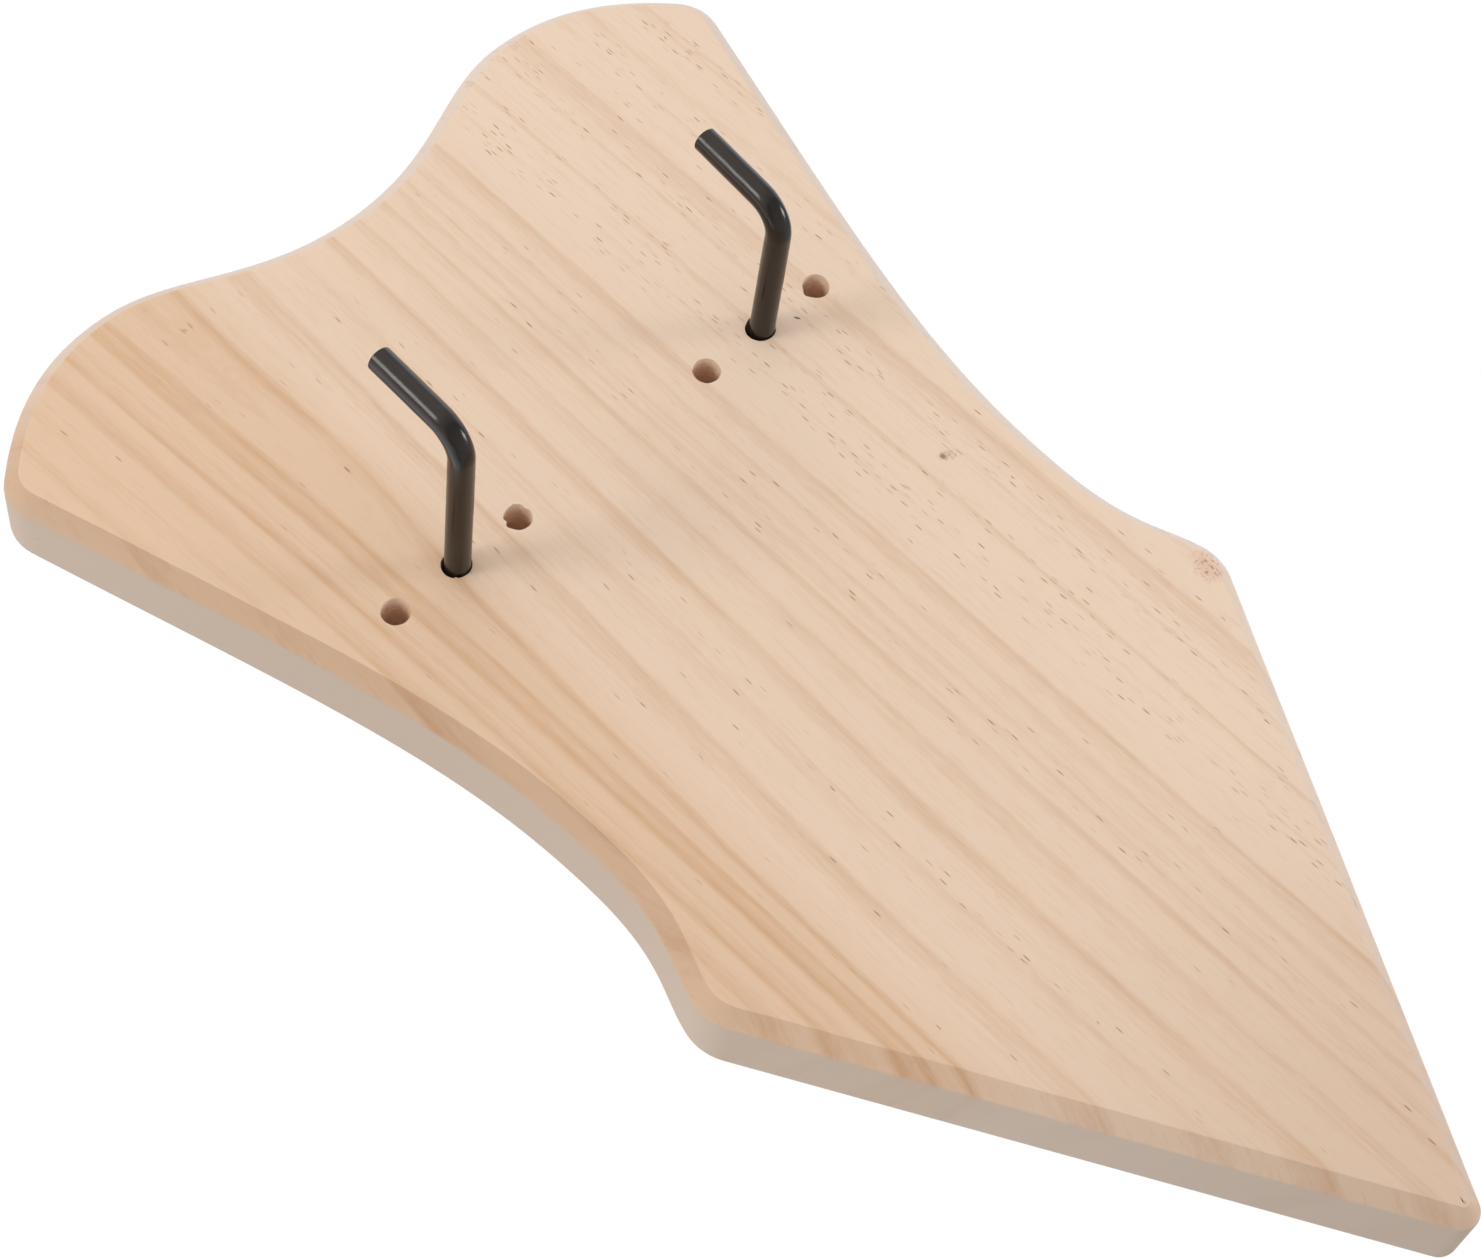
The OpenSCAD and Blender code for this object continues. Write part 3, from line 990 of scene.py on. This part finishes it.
def build_sleeve(side, sleeve_paint):
    """The shrink sleeve of one peg, as a tube with rounded ends."""
    path = PegPath(side)
    rod_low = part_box(f"{side}_rod")[0]
    bore = (path.elbow.y - rod_low.y) + SLEEVE_FIT
    rows = path.stations()
    angles = [2 * math.pi * i / SLEEVE_SIDES - math.pi for i in range(SLEEVE_SIDES)]
    body = bmesh.new()
    rings = []

    def add_ring(row, ahead=0.0, narrower=0.0, radius=None):
        """Adds a ring on the skin, or a true one where a radius is given."""
        centre, along, inward, bend_at, to_end = row
        sideways = along.cross(inward)
        ring = []
        for angle in angles:
            sink = sleeve_sink(path, side, angle, bend_at, to_end)
            reach = radius or path.radius - narrower - sink
            spoke = math.cos(angle) * inward + math.sin(angle) * sideways
            ring.append(body.verts.new(centre + along * ahead + reach * spoke))
        rings.append(ring)

    for step in range(LIP_STEPS):
        turn = step / LIP_STEPS * math.pi / 2
        add_ring(rows[0], LIP_REACH * (1 - math.cos(turn)), LIP_REACH * (1 - math.sin(turn)))
    for row in rows[1:]:
        to_end = row[-1]
        if to_end > LIP_REACH:
            add_ring(row)
    for step in range(LIP_STEPS + 1):
        turn = step / LIP_STEPS * math.pi / 2
        add_ring(rows[-1], -LIP_REACH * (1 - math.sin(turn)), LIP_REACH * (1 - math.cos(turn)))
    for row in [rows[-1]] + rows[-1 - BORE_STRIDE:0:-BORE_STRIDE] + [rows[0]]:
        add_ring(row, radius=bore)
    for near, far in zip(rings, rings[1:] + rings[:1]):
        for i in range(SLEEVE_SIDES):
            j = (i + 1) % SLEEVE_SIDES
            body.faces.new((near[i], near[j], far[j], far[i]))
    bmesh.ops.recalc_face_normals(body, faces=body.faces)
    sleeve = object_from(body, f"{side}_shrink_sleeve")
    sharpen(sleeve.data, SLEEVE_FOLD)
    sleeve.data.materials.append(sleeve_paint)
    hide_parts(f"{side}_sleeve")
    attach(sleeve, f"{side}_peg")


# ---------------------------------------------------------------- floor, light, camera

AIM_AT = Vector((-12.2 * MM, FRONT_Y, -49.1 * MM))
CAMERA_AZIMUTH = 26.10
CAMERA_ELEVATION = -17.21
CAMERA_ROLL = -47.92
CAMERA_DISTANCE = 0.63035
CAMERA_LENS_MM = 76.26


def camera():
    """The camera at the photographer's viewpoint, low on the left and rolled."""
    azimuth = math.radians(CAMERA_AZIMUTH)
    elevation = math.radians(CAMERA_ELEVATION)
    look = Vector((
        math.sin(azimuth) * math.cos(elevation),
        math.cos(azimuth) * math.cos(elevation),
        -math.sin(elevation),
    ))
    data = bpy.data.cameras.new("camera")
    data.lens = CAMERA_LENS_MM
    data.clip_start = 0.01
    made = bpy.data.objects.new("camera", data)
    level = look.to_track_quat("-Z", "Y").to_matrix().to_4x4()
    roll = Matrix.Rotation(math.radians(CAMERA_ROLL), 4, "Z")
    made.matrix_world = Matrix.Translation(AIM_AT - look * CAMERA_DISTANCE) @ level @ roll
    bpy.context.scene.collection.objects.link(made)
    bpy.context.scene.camera = made


# Lamps: name, direction from the object, then distance and side in m, power in W, colour
LAMPS = [
    ("key", (-0.1, -0.68, 0.73), 0.65, 1.1, 1.65, (1.0, 0.99, 0.97)),
    ("left_softbox", (-0.69, -0.55, 0.47), 1.2, 0.42, 4.5, (0.90, 0.97, 1.0)),
    ("right_softbox", (0.79, -0.27, -0.53), 0.85, 0.25, 2.2, (0.94, 0.97, 1.0)),
    ("rim", (0.8, 0.25, 0.55), 1.1, 1.6, 5.0, (0.78, 0.88, 1.0)),
    ("bounce", (-0.78, 0.45, 0.15), 0.6, 0.8, 2.15, (0.68, 0.8, 0.92)),
]


def area_light(aim, name, direction, distance, size, power, colour):
    """A soft square light that shines on aim from a direction."""
    data = bpy.data.lights.new(name, "AREA")
    data.shape = "SQUARE"
    data.size = size
    data.energy = power
    data.color = colour
    made = bpy.data.objects.new(name, data)
    away = Vector(direction).normalized()
    made.location = aim + away * distance
    made.visible_camera = False
    made.rotation_euler = away.to_track_quat("Z", "Y").to_euler()
    bpy.context.scene.collection.objects.link(made)


# Colour of the dim surroundings that light the object, in front and behind it, and the
# share of a direction's y over which the one turns into the other
FILL_FRONT = (1.0, 0.985, 0.96, 1.0)
FILL_BACK = (0.74, 0.88, 1.0, 1.0)
FILL_TURNS = (-0.3, 0.3)
FILL_STRENGTH = 0.54
WHITE = (1.0, 1.0, 1.0, 1.0)


def either(tree, first, second):
    """The larger of two outputs."""
    made = tree.nodes.new("ShaderNodeMath")
    made.operation = "MAXIMUM"
    tree.links.new(first, made.inputs[0])
    tree.links.new(second, made.inputs[1])
    return made.outputs[0]


def fill_colour(tree):
    """The surroundings' colour by direction, from the front to behind the board."""
    towards = tree.nodes.new("ShaderNodeTexCoord")
    split = tree.nodes.new("ShaderNodeSeparateXYZ")
    tree.links.new(towards.outputs["Generated"], split.inputs[0])
    behind = tree.nodes.new("ShaderNodeMapRange")
    behind.inputs["From Min"].default_value = FILL_TURNS[0]
    behind.inputs["From Max"].default_value = FILL_TURNS[1]
    tree.links.new(split.outputs[1], behind.inputs["Value"])
    blend = tree.nodes.new("ShaderNodeMix")
    blend.data_type = "RGBA"
    blend.inputs[6].default_value = FILL_FRONT
    blend.inputs[7].default_value = FILL_BACK
    tree.links.new(behind.outputs[0], blend.inputs[0])
    return blend.outputs[2]


def world():
    """Surroundings that light the object softly, and that the camera sees as plain
    white, also in reflections and through glass."""
    made = bpy.data.worlds.new("surroundings")
    made.use_nodes = True
    tree = made.node_tree
    tree.nodes.clear()
    rays = tree.nodes.new("ShaderNodeLightPath")
    mirrored = either(tree, rays.outputs["Is Glossy Ray"], rays.outputs["Is Transmission Ray"])
    seen = either(tree, rays.outputs["Is Camera Ray"], mirrored)
    fill = tree.nodes.new("ShaderNodeBackground")
    fill.inputs["Strength"].default_value = FILL_STRENGTH
    tree.links.new(fill_colour(tree), fill.inputs["Color"])
    white = tree.nodes.new("ShaderNodeBackground")
    white.inputs["Color"].default_value = WHITE
    pick = tree.nodes.new("ShaderNodeMixShader")
    tree.links.new(seen, pick.inputs[0])
    tree.links.new(fill.outputs[0], pick.inputs[1])
    tree.links.new(white.outputs[0], pick.inputs[2])
    output = tree.nodes.new("ShaderNodeOutputWorld")
    tree.links.new(pick.outputs[0], output.inputs["Surface"])
    bpy.context.scene.world = made


FLOOR_DROP = 450 * MM        # how far the floor lies below the board
FLOOR_HALF = 3.0             # half the floor's side
FLOOR_PALE = (0.86, 0.86, 0.86, 1.0)


def floor():
    """A plain pale floor below the hanging board."""
    level = cad_box[0].z - FLOOR_DROP
    body = bmesh.new()
    corners = [body.verts.new((FLOOR_HALF * i, FLOOR_HALF * j, level))
               for i, j in ((-1, -1), (1, -1), (1, 1), (-1, 1))]
    body.faces.new(corners)
    made = object_from(body, "floor")
    paint = Paint("pale_floor")
    paint.shade(Base_Color=FLOOR_PALE, Roughness=0.9, Specular_IOR_Level=0.1)
    made.data.materials.append(paint.material)


bpy.context.scene.view_settings.view_transform = "Standard"
camera()
world()
floor()
middle = (cad_box[0] + cad_box[1]) / 2
for lamp in LAMPS:
    area_light(middle, *lamp)
build_board()
sleeve_material = shrink_sleeve()
steel_material = steel()
for side in ("left", "right"):
    build_sleeve(side, sleeve_material)
    rod = frame["nodes"][f"{side}_rod"]
    rod.data.materials.clear()
    rod.data.materials.append(steel_material)
